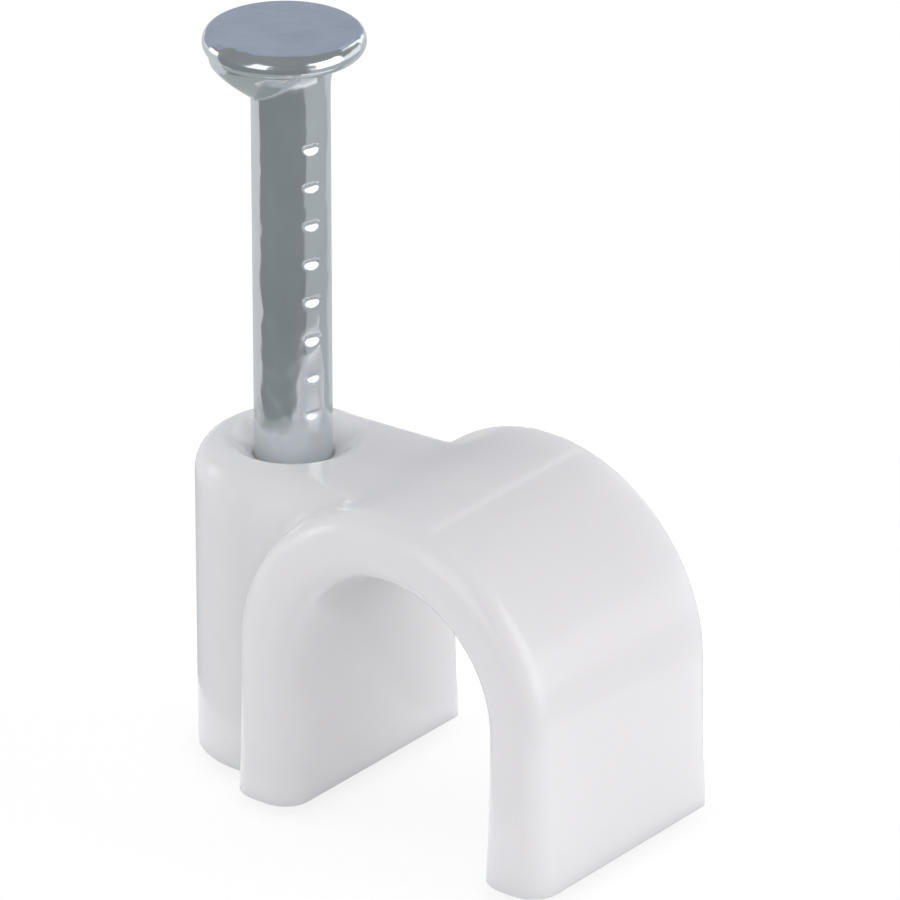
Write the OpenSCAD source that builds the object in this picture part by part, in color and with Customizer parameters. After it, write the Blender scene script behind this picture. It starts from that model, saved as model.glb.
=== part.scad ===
// Nail-in cable clip: a moulded saddle for a round cable with a wire nail standing in its boss.
// Millimetres. The wall is the plane z = 0, the nail stands on the Z axis, and the cable runs along Y.

/* [Cable channel] */
// Diameter of the round cable seat
channel_d = 6.0; // [4:0.5:10]
// Height of the cable's centre above the wall
seat_height = 3.91; // [2.5:0.01:8]
// Wall thickness of the saddle at its crown
saddle_wall = 1.68; // [1.2:0.02:3]
// Length of the saddle along the cable
saddle_length = 6.7; // [4:0.1:12]
// How far each leg's outer face spreads on its way down to the wall
leg_flare = 0.13; // [0.02:0.01:0.4]
// How far each leg's inner face closes in on its way down to the wall
leg_toe_in = 0.14; // [0.02:0.01:0.16]
// Radius of the saddle's front edges
front_round = 0.68; // [0.2:0.02:0.75]
// Radius of the saddle's back edges
back_round = 0.06; // [0.05:0.01:0.5]

/* [Nail boss] */
// Diameter of the boss around the nail
boss_d = 4.82; // [4:0.02:7]
// Height of the boss and of the web's flat top
boss_height = 8.15; // [6:0.05:14]
// Distance from the nail's axis to the cable's centre line
boss_pitch = 5.4; // [4.5:0.1:9]
// Radius of the boss's rounded top edge
boss_round = 0.9; // [0.3:0.05:1.2]
// Width of the web where it leaves the boss
web_w = 4.7; // [3:0.02:6]
// Radius of the web's rounded top edges
web_round = 0.84; // [0.3:0.02:1.2]
// Angle by which each side of the web spreads towards the saddle, degrees
web_spread = 4.5; // [1:0.5:6]
// Diameter of the shallow dish around the nail hole
dish_d = 3.2; // [2.8:0.1:3.6]
// Depth of the dish where it meets the nail hole
dish_depth = 0.5; // [0.1:0.05:0.7]

/* [Nail] */
// Diameter of the shank
nail_d = 1.92; // [1.6:0.02:2.6]
// Length of the nail from the top of its head to its point
nail_length = 18.0; // [14:0.5:30]
// Height of the point above the wall as the clip is supplied
point_height = 0.83; // [0.3:0.01:3]
// Diameter of the head
head_d = 3.94; // [3.2:0.02:6]
// Thickness of the head at its rounded rim
head_thick = 0.57; // [0.3:0.01:1]
// How far the head sits off the shank's axis
head_offset = 0.14; // [0:0.01:0.3]
// Length of the one-sided swelling under the head
neck_length = 1.17; // [0.8:0.01:1.6]
// Slope of the swelling's side away from the shank, degrees
neck_slope = 42.5; // [30:0.5:50]
// Direction in which the head and the swelling are off centre, degrees from +X
head_turn = 218.5; // [0:0.5:360]
// Length of the cut point
point_length = 2.4; // [1.5:0.1:4]

/* [Gripper marks] */
// Number of marks down each side of the shank
mark_count = 8; // [0:1:10]
// Spacing of the marks along the shank
mark_pitch = 1.0; // [0.6:0.05:1.5]
// Distance from the top of the head to the first mark
mark_start = 2.7; // [2.4:0.05:6]
// Depth of each mark
mark_depth = 0.06; // [0.02:0.01:0.15]
// Width of each mark around the shank
mark_width = 0.42; // [0.2:0.02:0.8]
// Slope of a mark's long lower side off the shank, degrees
mark_slope = 15; // [10:1:30]
// Slope of a mark's short upper side off the shank, degrees
mark_step = 45; // [30:1:60]
// Direction that the first row of marks faces, degrees from +X
mark_turn = -19; // [-180:1:180]

/* [Fits] */
// Gap all round between the shank and its hole
nail_clearance = 0.03; // [0.02:0.01:0.1]

/* [Hidden] */
$fn = 96;
// Fineness of the legs' slow bends, and of the edges that follow them
bend_fn = 1440;
edge_fn = 96;
channel_r = channel_d / 2;
saddle_r = channel_r + saddle_wall;
half_length = saddle_length / 2;
boss_r = boss_d / 2;
nail_r = nail_d / 2;
hole_r = nail_r + nail_clearance;
head_r = head_d / 2;
head_top = point_height + nail_length;
head_under = head_top - head_thick;
// Sphere that leaves the dish around the nail hole
dish_r = dish_d / 2;
dish_rise = (dish_r * dish_r - hole_r * hole_r - dish_depth * dish_depth) / (2 * dish_depth);
dish_ball_r = sqrt(dish_r * dish_r + dish_rise * dish_rise);
// Cone of the swelling: how far it reaches from the nail's axis under the head on either side
neck_far = nail_r + neck_length * tan(neck_slope);
neck_near = 0.85 * nail_r;
neck_r = (neck_far + neck_near) / 2;
neck_offset = (neck_far - neck_near) / 2;
// Radius of a bend that starts straight down and runs off by d at the wall, to a tenth
function bend_radius(d) = round(10 * (seat_height * seat_height + d * d) / (2 * d)) / 10;
leg_spread = leg_flare + leg_toe_in;
// Front edge radius, kept small enough that the two halves of a leg still overlap at the wall
front_r = min(front_round, (saddle_wall - 1.25 * leg_spread) / 2);
// Width of each half of a leg, which has one rounded edge, to a hundredth
leg_half = round(100 * (saddle_wall - front_r - 0.05 * leg_spread)) / 100;
// Depth to which the boss and the web run into the saddle's wall
web_root = saddle_wall / 2;
cut = 1;

// Strip of wall from x = 0 to x = w, with its far edge rounded at the front (-Y) and at the back (+Y)
module wall_half(w) {
    translate([0, -half_length]) square([w - front_r, front_r]);
    translate([0, front_r - half_length]) square([w, saddle_length - front_r - back_round]);
    translate([0, half_length - back_round]) square([w - back_round, back_round]);
    translate([w - front_r, front_r - half_length]) circle(front_r, $fn = edge_fn);
    translate([w - back_round, half_length - back_round]) circle(back_round, $fn = edge_fn);
}

// Whole section of the saddle's wall, from the channel (x = channel_r) to the outside
module wall_section() {
    middle = channel_r + web_root;
    translate([middle, 0]) wall_half(web_root);
    translate([middle, 0]) mirror([1, 0]) wall_half(web_root);
}

// Half-round crown of the saddle, on the cable's centre line
module crown() {
    rotate([90, 0, 0]) rotate_extrude(angle = 180) mirror([0, 1]) wall_section();
}

// Half of a leg's section, turned so that its rounded edge lies on a bend of radius r
module bent_half(r) {
    mirror([0, 1]) translate([r + leg_half, 0]) mirror([1, 0]) wall_half(leg_half);
}

// Right-hand leg under the crown: its outer half bends out and its inner half bends in
module leg() {
    flare_r = bend_radius(leg_flare);
    flare_turn = 1.2 * asin(seat_height / flare_r);
    toe_r = bend_radius(leg_toe_in);
    toe_turn = 1.2 * asin(seat_height / toe_r);
    intersection() {
        translate([0, -saddle_length, -seat_height])
            cube([2 * saddle_r, 2 * saddle_length, seat_height + cut]);
        union() {
            translate([saddle_r + flare_r, 0, 0]) rotate([90, 0, 0]) rotate([0, 0, 180])
                rotate_extrude(angle = flare_turn, $fn = bend_fn) bent_half(flare_r);
            translate([channel_r - toe_r, 0, 0]) rotate([90, 0, 0]) mirror([0, 1, 0])
                rotate_extrude(angle = toe_turn, $fn = bend_fn) bent_half(toe_r);
        }
    }
}

// Round boss with its top edge rounded over
module boss() {
    rotate_extrude() {
        square([boss_r, boss_height - boss_round]);
        square([boss_r - boss_round, boss_height]);
        intersection() {
            translate([boss_r - boss_round, boss_height - boss_round]) circle(boss_round);
            square([boss_r, boss_height]);
        }
    }
}

// Beam from the boss to the crown, with its long top edges rounded
module web_beam() {
    rotate([90, 0, 90]) linear_extrude(boss_pitch) {
        translate([-web_w / 2, 0]) square([web_w, boss_height - web_round]);
        translate([web_round - web_w / 2, 0]) square([web_w - 2 * web_round, boss_height]);
        for (side = [-1, 1])
            translate([side * (web_w / 2 - web_round), boss_height - web_round]) circle(web_round);
    }
}

// Room that the boss and the web leave free for the channel, up to the middle of the saddle's wall
module channel_relief() {
    translate([0, saddle_length, 0]) rotate([90, 0, 0]) cylinder(r = channel_r + web_root, h = 2 * saddle_length);
    translate([-channel_r - web_root, -saddle_length, -seat_height - cut])
        cube([2 * (channel_r + web_root), 2 * saddle_length, seat_height + cut]);
}

// Nail hole through the boss, opening into a shallow dish at the top
module nail_hole() {
    translate([0, 0, -cut]) cylinder(r = hole_r, h = boss_height + 2 * cut);
    translate([0, 0, boss_height + dish_rise]) sphere(dish_ball_r);
}

// White moulded clip: saddle, boss and web in one piece
module clip_body() {
    color([0.88, 0.88, 0.9]) difference() {
        union() {
            translate([boss_pitch, 0, seat_height]) {
                crown();
                leg();
                mirror([1, 0, 0]) leg();
            }
            difference() {
                union() {
                    boss();
                    rotate([0, 0, web_spread]) web_beam();
                    rotate([0, 0, -web_spread]) web_beam();
                }
                translate([boss_pitch, 0, seat_height]) channel_relief();
            }
        }
        nail_hole();
    }
}

// Flat head with a fully rounded rim
module head() {
    rim = head_thick / 2;
    translate([0, 0, head_under]) rotate_extrude() {
        square([head_r - rim, head_thick]);
        translate([head_r - rim, rim]) circle(rim);
    }
}

// One-sided swelling under the head: a cone beside the shank, trimmed to the head
module neck() {
    drop = neck_r / tan(neck_slope);
    rise = head_thick / 2;
    intersection() {
        translate([neck_offset, 0, head_under - drop])
            cylinder(r1 = 0, r2 = neck_r + rise * tan(neck_slope), h = drop + rise);
        translate([head_offset, 0, head_under - drop]) cylinder(r = head_r - head_thick / 4, h = drop + rise);
    }
}

// Shank with a four-sided cut point
module shank() {
    intersection() {
        translate([0, 0, point_height]) cylinder(r = nail_r, h = head_under - point_height + head_thick / 2);
        point_form();
    }
}

// Common part of two wedges at right angles, which leaves the four flats of the point
module point_form() {
    intersection() {
        point_wedge();
        rotate([0, 0, 90]) point_wedge();
    }
}

// Wedge that rises from the point's tip and runs on straight beside the shank
module point_wedge() {
    side = nail_r + cut;
    rise = point_length * side / nail_r;
    translate([0, side, point_height]) rotate([90, 0, 0]) linear_extrude(2 * side)
        polygon([[0, 0], [side, rise], [side, nail_length], [-side, nail_length], [-side, rise]]);
}

// One row of gripper marks, pressed into the side of the shank that faces +X
module mark_row() {
    over = 0.1;
    bite = mark_depth + over;
    for (i = [0 : 1 : mark_count - 1])
        translate([nail_r - mark_depth, mark_width / 2, head_top - mark_start - i * mark_pitch])
            rotate([90, 0, 0]) linear_extrude(mark_width)
                polygon([[0, 0], [bite, bite / tan(mark_step)], [bite, -bite / tan(mark_slope)]]);
}

// Zinc-plated wire nail, standing as supplied
module nail() {
    color([0.6, 0.62, 0.68]) union() {
        difference() {
            shank();
            rotate([0, 0, mark_turn]) mark_row();
            rotate([0, 0, mark_turn + 180]) mark_row();
        }
        rotate([0, 0, head_turn]) {
            translate([head_offset, 0, 0]) head();
            neck();
        }
    }
}

clip_body();
nail();
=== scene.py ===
from math import copysign, cos, pi, radians, sin, sqrt, tan

import bmesh
import bpy
from mathutils import Matrix, Vector


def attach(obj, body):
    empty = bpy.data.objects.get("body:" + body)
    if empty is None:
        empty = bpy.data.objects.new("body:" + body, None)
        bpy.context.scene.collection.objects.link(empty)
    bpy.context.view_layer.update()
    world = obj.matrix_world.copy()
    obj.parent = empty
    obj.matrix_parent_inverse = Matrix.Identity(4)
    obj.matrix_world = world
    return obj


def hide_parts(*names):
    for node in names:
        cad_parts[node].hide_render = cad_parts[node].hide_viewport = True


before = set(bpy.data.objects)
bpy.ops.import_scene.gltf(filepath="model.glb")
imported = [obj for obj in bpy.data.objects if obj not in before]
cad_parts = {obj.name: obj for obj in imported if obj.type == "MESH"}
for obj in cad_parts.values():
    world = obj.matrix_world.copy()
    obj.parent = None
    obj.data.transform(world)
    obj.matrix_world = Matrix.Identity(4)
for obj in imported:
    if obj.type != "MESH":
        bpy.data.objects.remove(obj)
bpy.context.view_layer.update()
mm = 0.001  # pieces are modelled in millimetres and brought to metres at the end
scene = bpy.context.scene
scene.view_settings.view_transform = "Standard"


# helpers

def meshObject(name, bm):
    mesh = bpy.data.meshes.new(name)
    bm.normal_update()
    bm.to_mesh(mesh)
    bm.free()
    obj = bpy.data.objects.new(name, mesh)
    scene.collection.objects.link(obj)
    return obj


def applyModifiers(obj):
    deps = bpy.context.evaluated_depsgraph_get()
    done = bpy.data.meshes.new_from_object(obj.evaluated_get(deps))
    old = obj.data
    obj.modifiers.clear()
    obj.data = done
    bpy.data.meshes.remove(old)


def joinSolids(base, tool, operation):
    mod = base.modifiers.new("join", "BOOLEAN")
    mod.operation = operation
    mod.solver = "EXACT"
    mod.object = tool
    applyModifiers(base)
    old = tool.data
    bpy.data.objects.remove(tool)
    bpy.data.meshes.remove(old)


def vertsIn(geom):
    return [g for g in geom if isinstance(g, bmesh.types.BMVert)]


def edgesIn(geom):
    return [g for g in geom if isinstance(g, bmesh.types.BMEdge)]


def relax(bm, verts, steps):
    for _ in range(steps):
        bmesh.ops.smooth_vert(bm, verts=verts, factor=0.5, use_axis_x=True, use_axis_y=True,
                              use_axis_z=True)


def smoothAround(bm, core, spread, steps):
    # relax the core and as many rings of neighbours as spread says
    area = set(core)
    for _ in range(spread):
        area |= {e.other_vert(v) for v in area for e in v.link_edges}
    relax(bm, [v for v in bm.verts if v in area], steps)
    print("smoothed:", len(area), "of", len(bm.verts))


def direction(turn, rise=0):
    # unit vector from two angles in degrees, round from +X and up from level
    a, b = radians(turn), radians(rise)
    return Vector((cos(a) * cos(b), sin(a) * cos(b), sin(b)))


# clip moulding

clipForm = {
    "channelRadius": 3.0,
    "seatHeight": 3.91,
    "wall": 1.68,
    "length": 6.7,
    "flare": 0.13,
    "toeIn": 0.14,
    "frontRound": 0.68,
    "backRound": 0.03,
    "spare": 0.35,         # extra height under the wall face, cut off after softening
    "pitch": 5.4,          # nail axis to cable axis
    "bossRadius": 2.41,
    "bossHeight": 8.2,
    "bossRound": 0.9,
    "webStart": 0.34,      # where the web's sides leave the round boss
    "webHalf": 2.357,
    "webSpread": 4.5,
    "dishRadius": 1.8,
    "dishDepth": 0.44,
    "holeRadius": 0.99,
    "roundSteps": 144,     # sides of the boss, the hole and the channel
    "crownSteps": 96,
    "legSteps": 12,
    "frontSteps": 14,
    "backSteps": 5,
    "dishSteps": 16,
    "voxel": 0.073,
    "edgeSmooth": 3,
    "valleyRise": 0.6,     # how hollow a corner has to be, in voxels squared
    "valleySpread": 3,
    "valleySmooth": 12,
    "crownRun": (-1.4, 1.5),  # where the web's top runs softly into the crown, along the cable
    "crownDip": 0.2,
    "crownSpread": (4, 7, 10, 13, 16),
    "crownSmooth": 40,
}


def saddleSolid(f):
    bm = bmesh.new()
    # section of the wall, rounded at the front more than at the back
    bmesh.ops.create_grid(bm, x_segments=1, y_segments=1, size=0.5)
    bmesh.ops.scale(bm, vec=(f["wall"], f["length"], 1), verts=bm.verts)
    bmesh.ops.translate(bm, vec=(f["channelRadius"] + f["wall"] / 2, 0, 0), verts=bm.verts)
    front = (-1, f["frontRound"], f["frontSteps"])
    rear = (1, f["backRound"], f["backSteps"])
    for side, offset, segments in (front, rear):
        corners = [v for v in bm.verts if abs(v.co.y - side * f["length"] / 2) < 1e-4]
        bmesh.ops.bevel(bm, geom=corners, offset=offset, segments=segments, profile=0.5,
                        affect="VERTICES", material=-1)
    bmesh.ops.delete(bm, geom=bm.faces[:], context="FACES_ONLY")
    # over the crown, then straight down both legs
    firstLoop = bm.edges[:]
    spun = bmesh.ops.spin(bm, geom=bm.verts[:] + bm.edges[:], axis=(0, 1, 0), cent=(0, 0, 0),
                          angle=-pi, steps=f["crownSteps"])
    lastLoop = edgesIn(spun["geom_last"])
    legStep = (f["seatHeight"] + f["spare"]) / f["legSteps"]
    for loop in (firstLoop, lastLoop):
        for _ in range(f["legSteps"]):
            step = bmesh.ops.extrude_edge_only(bm, edges=loop)
            bmesh.ops.translate(bm, vec=(0, 0, -legStep), verts=vertsIn(step["geom"]))
            loop = [e for e in edgesIn(step["geom"])
                    if abs(e.verts[0].co.z - e.verts[1].co.z) < 1e-5]
    # outer faces bend out and inner faces bend in towards the wall
    for v in bm.verts:
        if v.co.z < 0:
            drop = (v.co.z / f["seatHeight"]) ** 2
            outward = (abs(v.co.x) - f["channelRadius"]) / f["wall"]
            bend = f["flare"] * outward - f["toeIn"] * (1 - outward)
            v.co.x += copysign(1, v.co.x) * bend * drop
    bmesh.ops.holes_fill(bm, edges=bm.edges[:], sides=0)
    bmesh.ops.recalc_face_normals(bm, faces=bm.faces)
    bmesh.ops.translate(bm, vec=(f["pitch"], 0, f["seatHeight"]), verts=bm.verts)
    return meshObject("saddle", bm)


def bossSolid(f):
    bm = bmesh.new()
    # plan of the boss, with the web's sides running on to the saddle
    bmesh.ops.create_circle(bm, cap_ends=True, segments=f["roundSteps"], radius=f["bossRadius"])
    cut = bmesh.ops.bisect_plane(bm, geom=bm.verts[:] + bm.edges[:] + bm.faces[:], dist=1e-5,
                                 plane_co=(f["webStart"], 0, 0), plane_no=(1, 0, 0),
                                 clear_outer=True)
    mouthEdge = edgesIn(cut["geom_cut"])
    web = bmesh.ops.extrude_edge_only(bm, edges=mouthEdge)
    spread = f["webHalf"] + f["pitch"] * tan(radians(f["webSpread"]))
    for v in vertsIn(web["geom"]):
        v.co = (f["pitch"], copysign(spread, v.co.y), 0)
    bmesh.ops.dissolve_edges(bm, edges=mouthEdge, use_verts=False)
    # up to full height, with the top edge rolled over except where the web meets the crown
    bmesh.ops.translate(bm, vec=(0, 0, -f["spare"]), verts=bm.verts)
    raised = bmesh.ops.extrude_face_region(bm, geom=bm.faces[:])
    bmesh.ops.translate(bm, vec=(0, 0, f["bossHeight"] + f["spare"]),
                        verts=vertsIn(raised["geom"]))
    bm.normal_update()
    rim = [e for e in bm.edges
           if all(abs(v.co.z - f["bossHeight"]) < 1e-4 for v in e.verts)
           and not all(abs(v.co.x - f["pitch"]) < 1e-4 for v in e.verts)]
    bmesh.ops.bevel(bm, geom=rim, offset=f["bossRound"], segments=f["frontSteps"], profile=0.5,
                    affect="EDGES", material=-1)
    bmesh.ops.recalc_face_normals(bm, faces=bm.faces)
    return meshObject("boss", bm)


def channelRelief(f):
    # keeps the web out of the channel: a round top with its lower half drawn down past the wall
    bm = bmesh.new()
    radius = f["channelRadius"] + f["wall"] / 2
    bmesh.ops.create_cone(bm, cap_ends=True, segments=f["roundSteps"], radius1=radius,
                          radius2=radius, depth=3 * f["length"],
                          matrix=Matrix.Rotation(pi / 2, 4, "X"))
    low = [v for v in bm.verts if v.co.z < -1e-4]
    bmesh.ops.translate(bm, vec=(0, 0, -2 * f["seatHeight"]), verts=low)
    bmesh.ops.translate(bm, vec=(f["pitch"], 0, f["seatHeight"]), verts=bm.verts)
    return meshObject("channelRelief", bm)


def spunSolid(name, profile, steps):
    # closed solid of revolution about Z from (radius, height) points
    bm = bmesh.new()
    line = [bm.verts.new((r, 0, z)) for r, z in profile]
    for a, b in zip(line, line[1:]):
        bm.edges.new((a, b))
    bmesh.ops.spin(bm, geom=bm.verts[:] + bm.edges[:], axis=(0, 0, 1), cent=(0, 0, 0),
                   angle=2 * pi, steps=steps, use_merge=True)
    bmesh.ops.remove_doubles(bm, verts=bm.verts, dist=1e-5)
    bmesh.ops.recalc_face_normals(bm, faces=bm.faces)
    return meshObject(name, bm)


def nailHole(f):
    # straight hole that opens into a shallow dish with a soft rim
    hole, dish, deep, top = f["holeRadius"], f["dishRadius"], f["dishDepth"], f["bossHeight"]
    past = 1  # how far the cutter runs past the clip at both ends
    profile = [(0, -past), (hole, -past)]
    for i in range(f["dishSteps"] + 1):
        share = i / f["dishSteps"]
        profile.append((hole + (dish - hole) * share, top - deep * (1 + cos(pi * share)) / 2))
    profile += [(dish, top + past), (0, top + past)]
    return spunSolid("nailHole", profile, f["roundSteps"])


def softenClip(obj, f):
    bm = bmesh.new()
    bm.from_mesh(obj.data)
    relax(bm, bm.verts, f["edgeSmooth"])
    bm.normal_update()
    # the inside corners of the moulding get a wider fillet
    valley = set()
    for v in bm.verts:
        if Vector((v.co.x, v.co.y)).length < f["dishRadius"]:
            continue
        near = [e.other_vert(v).co for e in v.link_edges]
        rise = (sum(near, Vector()) / len(near) - v.co).dot(v.normal)
        if rise > f["valleyRise"] * f["voxel"] ** 2:
            valley.add(v)
    # and the line where the web's flat top meets the crown gets the widest
    front, rear = f["crownRun"]
    crownRadius = f["channelRadius"] + f["wall"]
    meet = f["pitch"] - sqrt(crownRadius ** 2 - (f["bossHeight"] - f["seatHeight"]) ** 2)
    joint = {v for v in bm.verts if abs(v.co.x - meet) < f["voxel"] and front < v.co.y < rear
             and v.co.z > f["bossHeight"] - f["crownDip"]}
    smoothAround(bm, valley, f["valleySpread"], f["valleySmooth"])
    for spread in f["crownSpread"]:
        smoothAround(bm, joint, spread, f["crownSmooth"])
    # cut clean along the wall face
    cut = bmesh.ops.bisect_plane(bm, geom=bm.verts[:] + bm.edges[:] + bm.faces[:], dist=1e-4,
                                 plane_co=(0, 0, 0), plane_no=(0, 0, 1), clear_inner=True)
    base = edgesIn(cut["geom_cut"])
    bmesh.ops.triangle_fill(bm, use_beauty=True, use_dissolve=False, edges=base)
    bmesh.ops.recalc_face_normals(bm, faces=bm.faces)
    bmesh.ops.scale(bm, vec=(mm, mm, mm), verts=bm.verts)
    for face in bm.faces:
        face.smooth = True
    for edge in base:
        if edge.is_valid:
            edge.smooth = False
    bm.to_mesh(obj.data)
    bm.free()


clip = bossSolid(clipForm)
clip.name = clip.data.name = "clipMoulding"
joinSolids(clip, channelRelief(clipForm), "DIFFERENCE")
joinSolids(clip, saddleSolid(clipForm), "UNION")
joinSolids(clip, nailHole(clipForm), "DIFFERENCE")
fuse = clip.modifiers.new("fuse", "REMESH")
fuse.mode = "VOXEL"
fuse.voxel_size = clipForm["voxel"]
applyModifiers(clip)
softenClip(clip, clipForm)
print("clip moulded:", len(clip.data.polygons), "faces")


# wire nail

nailForm = {
    "shankRadius": 0.96,
    "pointHeight": 0.83,
    "length": 18.0,
    "pointLength": 2.4,
    "headRadius": 1.97,
    "headThick": 0.57,
    "headOffset": 0.14,
    "headTurn": 218.5,     # which way the head is off the shank's axis
    "neckTurn": 228,
    "neckLength": 1.1,     # swelling on the far side, a bulging cone beside the shank
    "neckReach": (2.03, 0.82),  # under the head, on its far and its near side
    "neckBulge": 1.45,
    "neckBlend": 0.08,
    "underFillet": (0.93, 0.45),  # how far it runs down the shank and out under the head
    "rimEase": (0.2, 0.42),  # width of the rim's upper rounding, least and most
    "rimEaseTurn": -56,
    "markCount": 8,
    "markPitch": 1.0,
    "markStart": 2.7,
    "markDepth": 0.06,
    "markWidth": 0.42,
    "markSlope": 15,       # long lower side
    "markStep": 45,        # short upper side
    "markTurn": -19,
    "ringStep": 0.04,
    "segments": 128,
    "rimTurns": range(-60, 91, 10),  # angles of the rings round the rim
    "faceShares": (0.97, 0.9, 0.75, 0.5, 0.25),  # rings in over the face
    "flatCorners": 9,      # faces with as many corners are the point's flats or the head's middle
    "creaseAngle": 30,
}


def softMax(a, b, blend):
    # larger of two values, with a fillet where they cross
    near = max(blend - abs(a - b), 0) / blend
    return max(a, b) + near * near * blend / 4


def nailRings(f):
    # (height, radius, offset) up the shank, round the rim and in over the face
    headTop = f["pointHeight"] + f["length"]
    under = headTop - f["headThick"]
    rings = []
    shankLength = under - f["pointHeight"]
    steps = int(shankLength / f["ringStep"])
    for i in range(1, steps + 1):
        rings.append((f["pointHeight"] + shankLength * i / steps, f["shankRadius"], 0))
    rim = f["headThick"] / 2
    flat = f["headRadius"] - rim
    for turn in f["rimTurns"]:
        a = radians(turn)
        rings.append((under + rim + rim * sin(a), flat + rim * cos(a), f["headOffset"]))
    for share in f["faceShares"]:
        rings.append((headTop, flat * share, f["headOffset"]))
    return rings


def nailSolid(f):
    bm = bmesh.new()
    bmesh.ops.create_circle(bm, cap_ends=True, segments=f["segments"], radius=f["shankRadius"],
                            matrix=Matrix.Translation((0, 0, f["pointHeight"])))
    lean = direction(f["headTurn"])
    loop = bm.edges[:]
    radius, offset = f["shankRadius"], 0
    for ringHeight, ringRadius, ringOffset in nailRings(f):
        step = bmesh.ops.extrude_edge_only(bm, edges=loop)
        verts = vertsIn(step["geom"])
        for v in verts:
            flat = (Vector((v.co.x, v.co.y, 0)) - lean * offset) * (ringRadius / radius)
            v.co = flat + lean * ringOffset + Vector((0, 0, ringHeight))
        inLoop = set(verts)
        loop = [e for e in edgesIn(step["geom"]) if e.verts[0] in inLoop and e.verts[1] in inLoop]
        radius, offset = ringRadius, ringOffset
    bmesh.ops.contextual_create(bm, geom=loop)
    bmesh.ops.recalc_face_normals(bm, faces=bm.faces)
    return bm


def swellNeck(bm, f):
    # push the shank out to the cone under the head, but no further than the head's rim
    under = f["pointHeight"] + f["length"] - f["headThick"]
    shank = f["shankRadius"]
    far, nearSide = f["neckReach"]
    offset = (far - nearSide) / 2
    rimRadius = f["headRadius"] - f["headThick"] / 4
    lean = direction(f["headTurn"])
    swell = direction(f["neckTurn"])
    for v in bm.verts:
        drop = under - v.co.z
        if drop < -1e-4 or drop > 1.3 * f["neckLength"]:
            continue
        way = Vector((v.co.x, v.co.y, 0)).normalized()
        along = way.dot(swell)
        across = 1 - along ** 2
        reach = shank
        share = max(drop / f["neckLength"], 0)
        cone = (far + nearSide) / 2 - (far - shank) * share ** f["neckBulge"]
        if cone > 0 and cone ** 2 > offset ** 2 * across:
            swollen = offset * along + sqrt(cone ** 2 - offset ** 2 * across)
            reach = softMax(shank, swollen, f["neckBlend"])
        down, out = f["underFillet"]
        if drop < down:
            rest = min(1 - drop / down, 1)
            reach = max(reach, shank + out * (1 - sqrt(1 - rest ** 2)))
        off = f["headOffset"] * way.dot(lean)
        limit = off + sqrt(rimRadius ** 2 - f["headOffset"] ** 2 + off ** 2)
        reach = -softMax(-reach, -limit, f["neckBlend"])
        v.co += way * (reach - shank)


def easeRim(bm, f):
    # the face is struck a little askew, so its rim is rolled over wider on one side
    headTop = f["pointHeight"] + f["length"]
    rim = f["headThick"] / 2
    lean = direction(f["headTurn"])
    wide = direction(f["rimEaseTurn"])
    flat = f["headRadius"] - rim
    for v in bm.verts:
        if v.co.z < headTop - rim - 1e-4:
            continue
        arm = Vector((v.co.x, v.co.y, 0)) - lean * f["headOffset"]
        reach = arm.length
        if reach < 1e-4:
            continue
        least, most = f["rimEase"]
        ease = least + (most - least) * max(arm.normalized().dot(wide), 0) ** 2
        if reach > flat:
            goal = f["headRadius"] - ease * (f["headRadius"] - reach) / rim
        else:
            goal = reach * (f["headRadius"] - ease) / flat
        v.co += arm * (goal / reach - 1)


def pressMarks(bm, f):
    # two rows of gripper marks, each with a long lower and a short upper side
    headTop = f["pointHeight"] + f["length"]
    low, high = tan(radians(f["markSlope"])), tan(radians(f["markStep"]))
    pressed = set()
    for turn in (f["markTurn"], f["markTurn"] + 180):
        facing = direction(turn)
        side = Vector((-facing.y, facing.x, 0))
        for i in range(f["markCount"]):
            level = headTop - f["markStart"] - i * f["markPitch"]
            for v in bm.verts:
                rise = v.co.z - level
                if abs(rise) > 1 or abs(v.co.dot(side)) > f["markWidth"] / 2:
                    continue
                slope = rise * high if rise > 0 else -rise * low
                over = v.co.dot(facing) - (f["shankRadius"] - f["markDepth"] + slope)
                if over > 0:
                    v.co -= facing * over
                    pressed.add(v)
    smoothAround(bm, pressed, 1, 1)


def cutPoint(bm, f):
    # four flats that meet at the tip
    tip = (0, 0, f["pointHeight"])
    for nx, ny in ((1, 0), (0, 1), (-1, 0), (0, -1)):
        normal = Vector((nx * f["pointLength"], ny * f["pointLength"], -f["shankRadius"]))
        cut = bmesh.ops.bisect_plane(bm, geom=bm.verts[:] + bm.edges[:] + bm.faces[:], dist=1e-5,
                                     plane_co=tip, plane_no=normal.normalized(), clear_outer=True)
        bmesh.ops.contextual_create(bm, geom=edgesIn(cut["geom_cut"]))
    bmesh.ops.remove_doubles(bm, verts=bm.verts, dist=1e-4)


nailMesh = nailSolid(nailForm)
swellNeck(nailMesh, nailForm)
easeRim(nailMesh, nailForm)
pressMarks(nailMesh, nailForm)
cutPoint(nailMesh, nailForm)
bmesh.ops.recalc_face_normals(nailMesh, faces=nailMesh.faces)
bmesh.ops.scale(nailMesh, vec=(mm, mm, mm), verts=nailMesh.verts)
for face in nailMesh.faces:
    face.smooth = len(face.verts) < nailForm["flatCorners"]
crease = radians(nailForm["creaseAngle"])
for edge in nailMesh.edges:
    if len(edge.link_faces) == 2 and edge.calc_face_angle() > crease:
        edge.smooth = False
nail = meshObject("wireNail", nailMesh)
print("nail headed:", len(nail.data.polygons), "faces")


# finishes

def emptyTree(owner):
    owner.use_nodes = True
    owner.node_tree.nodes.clear()
    return owner.node_tree.nodes, owner.node_tree.links


def newFinish(name):
    mat = bpy.data.materials.new(name)
    nodes, links = emptyTree(mat)
    shader = nodes.new("ShaderNodeBsdfPrincipled")
    out = nodes.new("ShaderNodeOutputMaterial")
    links.new(shader.outputs["BSDF"], out.inputs["Surface"])
    return mat, nodes, links, shader


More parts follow.
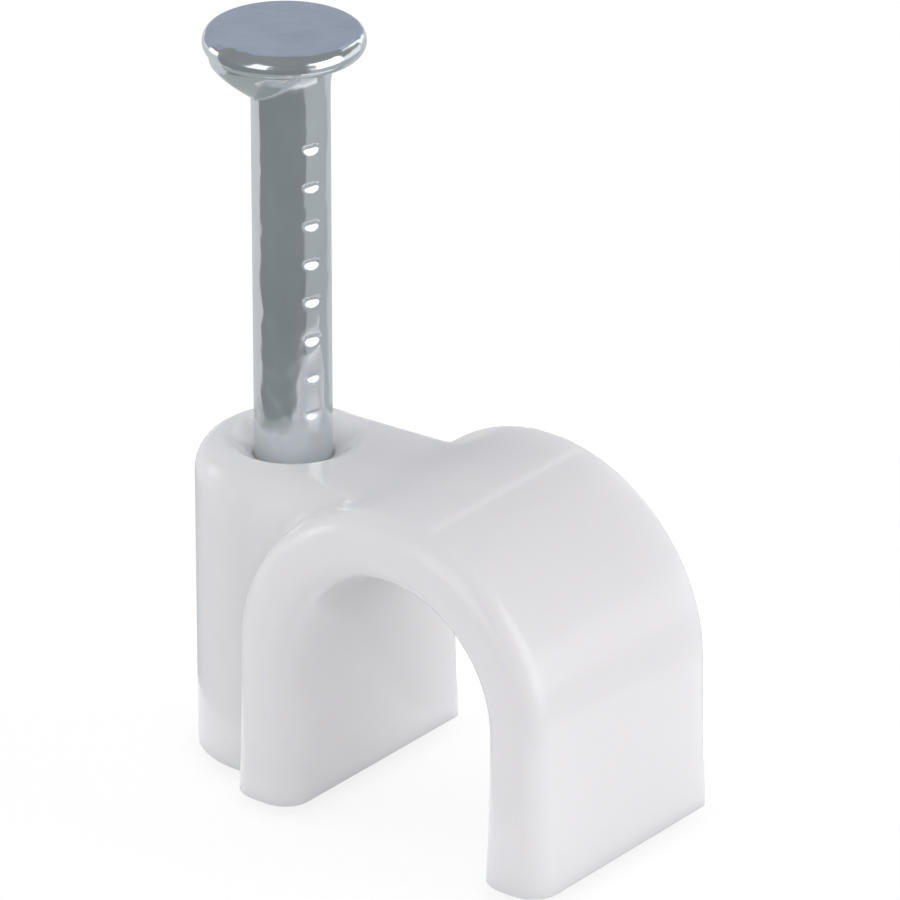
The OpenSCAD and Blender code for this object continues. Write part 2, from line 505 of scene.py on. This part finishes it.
def noiseNode(nodes, links, scale, stretch=(1, 1, 1), detail=2):
    coord = nodes.new("ShaderNodeTexCoord")
    place = nodes.new("ShaderNodeMapping")
    place.inputs["Scale"].default_value = stretch
    noise = nodes.new("ShaderNodeTexNoise")
    noise.inputs["Scale"].default_value = scale
    noise.inputs["Detail"].default_value = detail
    links.new(coord.outputs["Object"], place.inputs["Vector"])
    links.new(place.outputs["Vector"], noise.inputs["Vector"])
    return noise


def rampNode(nodes, links, source, low, high, start=0.3, end=0.7):
    ramp = nodes.new("ShaderNodeValToRGB")
    ramp.color_ramp.elements[0].position = start
    ramp.color_ramp.elements[1].position = end
    ramp.color_ramp.elements[0].color = (*low, 1)
    ramp.color_ramp.elements[1].color = (*high, 1)
    links.new(source, ramp.inputs["Fac"])
    return ramp


def rangeNode(nodes, links, source, low, high):
    span = nodes.new("ShaderNodeMapRange")
    span.inputs["From Min"].default_value = 0.3
    span.inputs["From Max"].default_value = 0.7
    span.inputs["To Min"].default_value = low
    span.inputs["To Max"].default_value = high
    links.new(source, span.inputs["Value"])
    return span


def bumpNode(nodes, links, source, shader, strength, distance):
    bump = nodes.new("ShaderNodeBump")
    bump.inputs["Strength"].default_value = strength
    bump.inputs["Distance"].default_value = distance
    links.new(source, bump.inputs["Height"])
    links.new(bump.outputs["Normal"], shader.inputs["Normal"])


plasticLook = {
    "pale": (0.855, 0.853, 0.857),
    "deep": (0.84, 0.837, 0.842),
    "cloudScale": 130,
    "paintedDishLight": (0.97, 0.968, 0.97),  # painted light: paler round the nail, to lift the shade in the dish at its foot
    "paintedDishLightReach": (0.0011, 0.0021),  # fades out between these distances from the nail's axis
    "roughness": (0.15, 0.18),
    "hazeScale": 300,
    "ior": 1.5,
    "glow": 1.0,
    "glowTint": (1.0, 0.92, 0.84),
    "glowDepth": 0.0013,
    "rippleScale": 520,
    "rippleBump": (0.03, 0.00005),
}

plastic, nodes, links, shader = newFinish("whitePolyethylene")
cloud = noiseNode(nodes, links, plasticLook["cloudScale"])
tint = rampNode(nodes, links, cloud.outputs["Fac"], plasticLook["deep"], plasticLook["pale"])
# painted light: the base colour turns paler near the nail's axis, lifting the shade in the dish
# round its foot
plan = nodes.new("ShaderNodeTexCoord")
flatten = nodes.new("ShaderNodeMapping")
flatten.inputs["Scale"].default_value = (1, 1, 0)
away = nodes.new("ShaderNodeVectorMath")
away.operation = "LENGTH"
dishLightFade = nodes.new("ShaderNodeMapRange")
dishLightFade.inputs["From Min"].default_value = plasticLook["paintedDishLightReach"][0]
dishLightFade.inputs["From Max"].default_value = plasticLook["paintedDishLightReach"][1]
dishLightFade.inputs["To Min"].default_value = 1.0
dishLightFade.inputs["To Max"].default_value = 0.0
dishLightMix = nodes.new("ShaderNodeMix")
dishLightMix.data_type = "RGBA"
dishLightMix.inputs["B"].default_value = (*plasticLook["paintedDishLight"], 1)
links.new(plan.outputs["Object"], flatten.inputs["Vector"])
links.new(flatten.outputs["Vector"], away.inputs[0])
links.new(away.outputs["Value"], dishLightFade.inputs["Value"])
links.new(dishLightFade.outputs["Result"], dishLightMix.inputs["Factor"])
links.new(tint.outputs["Color"], dishLightMix.inputs["A"])
links.new(dishLightMix.outputs["Result"], shader.inputs["Base Color"])
haze = noiseNode(nodes, links, plasticLook["hazeScale"])
gloss = rangeNode(nodes, links, haze.outputs["Fac"], *plasticLook["roughness"])
links.new(gloss.outputs["Result"], shader.inputs["Roughness"])
shader.inputs["IOR"].default_value = plasticLook["ior"]
shader.inputs["Subsurface Weight"].default_value = plasticLook["glow"]
shader.inputs["Subsurface Radius"].default_value = plasticLook["glowTint"]
shader.inputs["Subsurface Scale"].default_value = plasticLook["glowDepth"]
ripple = noiseNode(nodes, links, plasticLook["rippleScale"])
bumpNode(nodes, links, ripple.outputs["Fac"], shader, *plasticLook["rippleBump"])
clip.data.materials.clear()
clip.data.materials.append(plastic)

zincLook = {
    "pale": (0.78, 0.825, 0.86),
    "deep": (0.68, 0.725, 0.76),
    "patchScale": 700,
    "patchStretch": (1, 1, 0.5),
    "roughness": (0.10, 0.20),
    "drawnScale": 2600,    # fine lines along the drawn wire
    "drawnStretch": (1, 1, 0.04),
    "waveScale": 900,
    "waveStretch": (1, 1, 0.6),
    "waveBump": (0.5, 0.00025),
}

zinc, nodes, links, shader = newFinish("zincPlate")
shader.inputs["Metallic"].default_value = 1.0
patch = noiseNode(nodes, links, zincLook["patchScale"], zincLook["patchStretch"], detail=4)
tint = rampNode(nodes, links, patch.outputs["Fac"], zincLook["deep"], zincLook["pale"])
links.new(tint.outputs["Color"], shader.inputs["Base Color"])
drawn = noiseNode(nodes, links, zincLook["drawnScale"], zincLook["drawnStretch"], detail=3)
gloss = rangeNode(nodes, links, drawn.outputs["Fac"], *zincLook["roughness"])
links.new(gloss.outputs["Result"], shader.inputs["Roughness"])
wave = noiseNode(nodes, links, zincLook["waveScale"], zincLook["waveStretch"])
bumpNode(nodes, links, wave.outputs["Fac"], shader, *zincLook["waveBump"])
nail.data.materials.clear()
nail.data.materials.append(zinc)
print("finishes set")

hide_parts("clip_body")
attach(clip, "clip")
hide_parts("nail")
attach(nail, "nail")


# studio

studio = {
    "aim": (0.00487, 0.0, 0.00919),
    "azimuth": 38.558,
    "elevation": 25.389,
    "distance": 0.21375,
    "lens": 356.83,
    "horizon": (0.79, 0.79, 0.79),
    "zenith": (0.61, 0.603, 0.64),
    "floorSize": 1.2,
    "floorColor": (0.96, 0.96, 0.96),
    "floorCatch": 0.35,
    "floorGlow": 0.75,
    "tableGlow": 0.03,     # lit table, as for a cut-out picture
    "floorDrop": 0.0003,
}

camData = bpy.data.cameras.new("camera")
camData.lens = studio["lens"]
camData.sensor_width = 36
camData.clip_start = 0.01
camData.clip_end = 20
camera = bpy.data.objects.new("camera", camData)
scene.collection.objects.link(camera)
az, el = radians(studio["azimuth"]), radians(studio["elevation"])
back = Vector((sin(az) * cos(el), -cos(az) * cos(el), sin(el)))
camera.location = Vector(studio["aim"]) + back * studio["distance"]
camera.rotation_mode = "QUATERNION"
camera.rotation_quaternion = (-back).to_track_quat("-Z", "Y")
scene.camera = camera

# place is turn, rise and distance from the aim; shine is whether the gloss sees the lamp
lampSet = {
    "rightBox": {"place": (29, 14, 0.36), "size": 0.20, "watts": 0.30, "shine": False},
    "frontBox": {"place": (-94, 3, 0.45), "size": 0.11, "watts": 0.05, "shine": False},
    "leftBox": {"place": (-161, 14, 0.45), "size": 0.14, "watts": 0.25, "shine": False},
    "backSpot": {"place": (115, 38, 0.50), "size": 0.02, "watts": 0.004, "shine": True},
}


for name, lamp in lampSet.items():
    data = bpy.data.lights.new(name, "AREA")
    data.shape = "SQUARE"
    data.size = lamp["size"]
    data.energy = lamp["watts"]
    obj = bpy.data.objects.new(name, data)
    scene.collection.objects.link(obj)
    turn, rise, distance = lamp["place"]
    way = direction(turn, rise)
    obj.location = Vector(studio["aim"]) + way * distance
    obj.rotation_mode = "QUATERNION"
    obj.rotation_quaternion = (-way).to_track_quat("-Z", "Y")
    obj.visible_camera = False
    obj.visible_glossy = lamp["shine"]


def backgroundRays(nodes, links):
    # one for rays that look at the background, straight on, in a reflection or through the piece
    path = nodes.new("ShaderNodeLightPath")
    seen = nodes.new("ShaderNodeMath")
    seen.operation = "MAXIMUM"
    links.new(path.outputs["Is Camera Ray"], seen.inputs[0])
    links.new(path.outputs["Is Glossy Ray"], seen.inputs[1])
    through = nodes.new("ShaderNodeMath")
    through.operation = "MAXIMUM"
    links.new(seen.outputs[0], through.inputs[0])
    links.new(path.outputs["Is Transmission Ray"], through.inputs[1])
    return through.outputs[0]


# bright round the horizon and dimmer overhead, as in a light tent
world = bpy.data.worlds.new("studio")
scene.world = world
nodes, links = emptyTree(world)
coord = nodes.new("ShaderNodeTexCoord")
split = nodes.new("ShaderNodeSeparateXYZ")
links.new(coord.outputs["Generated"], split.inputs["Vector"])
tent = rampNode(nodes, links, split.outputs["Z"], studio["horizon"], studio["zenith"], 0.0, 1.0)
ambient = nodes.new("ShaderNodeBackground")
links.new(tent.outputs["Color"], ambient.inputs["Color"])
ambient.inputs["Strength"].default_value = 1.0
white = nodes.new("ShaderNodeBackground")
white.inputs["Color"].default_value = (1, 1, 1, 1)
white.inputs["Strength"].default_value = 1.0
pick = nodes.new("ShaderNodeMixShader")
out = nodes.new("ShaderNodeOutputWorld")
links.new(backgroundRays(nodes, links), pick.inputs["Fac"])
links.new(ambient.outputs["Background"], pick.inputs[1])
links.new(white.outputs["Background"], pick.inputs[2])
links.new(pick.outputs["Shader"], out.inputs["Surface"])

floorMesh = bmesh.new()
bmesh.ops.create_grid(floorMesh, x_segments=1, y_segments=1, size=studio["floorSize"] / 2)
bmesh.ops.translate(floorMesh, vec=(0, 0, -studio["floorDrop"]), verts=floorMesh.verts)
floor = meshObject("floor", floorMesh)
floorMat = bpy.data.materials.new("paleTable")
nodes, links = emptyTree(floorMat)
table = nodes.new("ShaderNodeBsdfDiffuse")
table.inputs["Color"].default_value = (*studio["floorColor"], 1)
lit = nodes.new("ShaderNodeEmission")
lit.inputs["Strength"].default_value = studio["tableGlow"]
litTable = nodes.new("ShaderNodeAddShader")
catch = nodes.new("ShaderNodeBsdfDiffuse")
catch.inputs["Color"].default_value = (studio["floorCatch"],) * 3 + (1,)
glow = nodes.new("ShaderNodeEmission")
glow.inputs["Strength"].default_value = studio["floorGlow"]
shown = nodes.new("ShaderNodeAddShader")
pick = nodes.new("ShaderNodeMixShader")
out = nodes.new("ShaderNodeOutputMaterial")
links.new(catch.outputs["BSDF"], shown.inputs[0])
links.new(glow.outputs["Emission"], shown.inputs[1])
links.new(backgroundRays(nodes, links), pick.inputs["Fac"])
links.new(table.outputs["BSDF"], litTable.inputs[0])
links.new(lit.outputs["Emission"], litTable.inputs[1])
links.new(litTable.outputs["Shader"], pick.inputs[1])
links.new(shown.outputs["Shader"], pick.inputs[2])
links.new(pick.outputs["Shader"], out.inputs["Surface"])
floor.data.materials.append(floorMat)

# cards that only the gloss sees: panels round a tent, each between two turns and two rises,
# and sheets on the table, each between two turns and two reaches
cardForm = {
    "tentRadius": 0.6,
    "panelGap": 0.01,      # each panel stands this much inside the one before
    "panelSteps": 12,
    "sheetHeight": 0.0006,
    "sweepSteps": 48,
}
panelSet = {
    "roof": {"turn": (-180, 180), "rise": (14, 89), "color": (0.285, 0.30, 0.30)},
    "backPanel": {"turn": (75, 185), "rise": (-1, 44), "color": (0.38, 0.415, 0.49)},
    "frontPanel": {"turn": (-150, -12), "rise": (-1, 14), "color": (0.26, 0.277, 0.285)},
    "whiteLeft": {"turn": (-112, -70), "rise": (12, 58), "color": (1.35, 1.38, 1.4)},
    "whiteRight": {"turn": (-5, 40), "rise": (-1, 50), "color": (2.0, 2.0, 2.0)},
    "glintLeft": {"turn": (-169, -153), "rise": (6, 22), "color": (2.2, 2.2, 2.2)},
    "whiteBack": {"turn": (80, 97), "rise": (2, 42), "color": (1.3, 1.32, 1.35)},
}
sheetSet = {
    "mat": {"turn": (-150, -12), "reach": (0.018, 0.55), "color": (0.26, 0.277, 0.285)},
    "apron": {"turn": (-12, 75), "reach": (0.018, 0.09), "color": (0.49, 0.506, 0.514)},
    "nearRing": {"turn": (35, 325), "reach": (0.0035, 0.018), "color": (0.42, 0.446, 0.437)},
    "leftSheet": {"turn": (128, 210), "reach": (0.018, 0.2), "color": (0.66, 0.675, 0.675)},
    "backSheet": {"turn": (75, 128), "reach": (0.018, 0.2), "color": (0.62, 0.635, 0.64)},
    "whiteStrip": {"turn": (-2, 24), "reach": (0.09, 0.57), "color": (1.6, 1.6, 1.6)},
}


def addCard(name, outline, turn, color):
    # sweep an outline of (radius, height) points round the object
    bm = bmesh.new()
    line = [bm.verts.new((r, 0, z)) for r, z in outline]
    for a, b in zip(line, line[1:]):
        bm.edges.new((a, b))
    start, span = radians(turn[0]), radians(turn[1] - turn[0])
    bmesh.ops.rotate(bm, verts=bm.verts, cent=(0, 0, 0), matrix=Matrix.Rotation(start, 3, "Z"))
    bmesh.ops.spin(bm, geom=bm.verts[:] + bm.edges[:], axis=(0, 0, 1), cent=(0, 0, 0),
                   angle=span, steps=cardForm["sweepSteps"])
    card = meshObject(name, bm)
    mat = bpy.data.materials.new(name + "Paper")
    nodes, links = emptyTree(mat)
    # light that goes on to dull surfaces sees the plain tent instead
    path = nodes.new("ShaderNodeLightPath")
    tone = nodes.new("ShaderNodeMix")
    tone.data_type = "RGBA"
    tone.inputs["A"].default_value = (*color, 1)
    tone.inputs["B"].default_value = (*studio["horizon"], 1)
    paper = nodes.new("ShaderNodeEmission")
    links.new(path.outputs["Diffuse Depth"], tone.inputs["Factor"])
    links.new(tone.outputs["Result"], paper.inputs["Color"])
    out = nodes.new("ShaderNodeOutputMaterial")
    links.new(paper.outputs["Emission"], out.inputs["Surface"])
    card.data.materials.append(mat)
    card.visible_camera = False
    card.visible_diffuse = False
    card.visible_shadow = False


for step, (name, panel) in enumerate(panelSet.items()):
    radius = cardForm["tentRadius"] - cardForm["panelGap"] * step
    low, high = panel["rise"]
    shares = [i / cardForm["panelSteps"] for i in range(cardForm["panelSteps"] + 1)]
    rises = [radians(low + (high - low) * share) for share in shares]
    outline = [(radius * cos(a), radius * sin(a)) for a in rises]
    addCard(name, outline, panel["turn"], panel["color"])
for name, sheet in sheetSet.items():
    outline = [(r, cardForm["sheetHeight"]) for r in sheet["reach"]]
    addCard(name, outline, sheet["turn"], sheet["color"])
print("studio set")
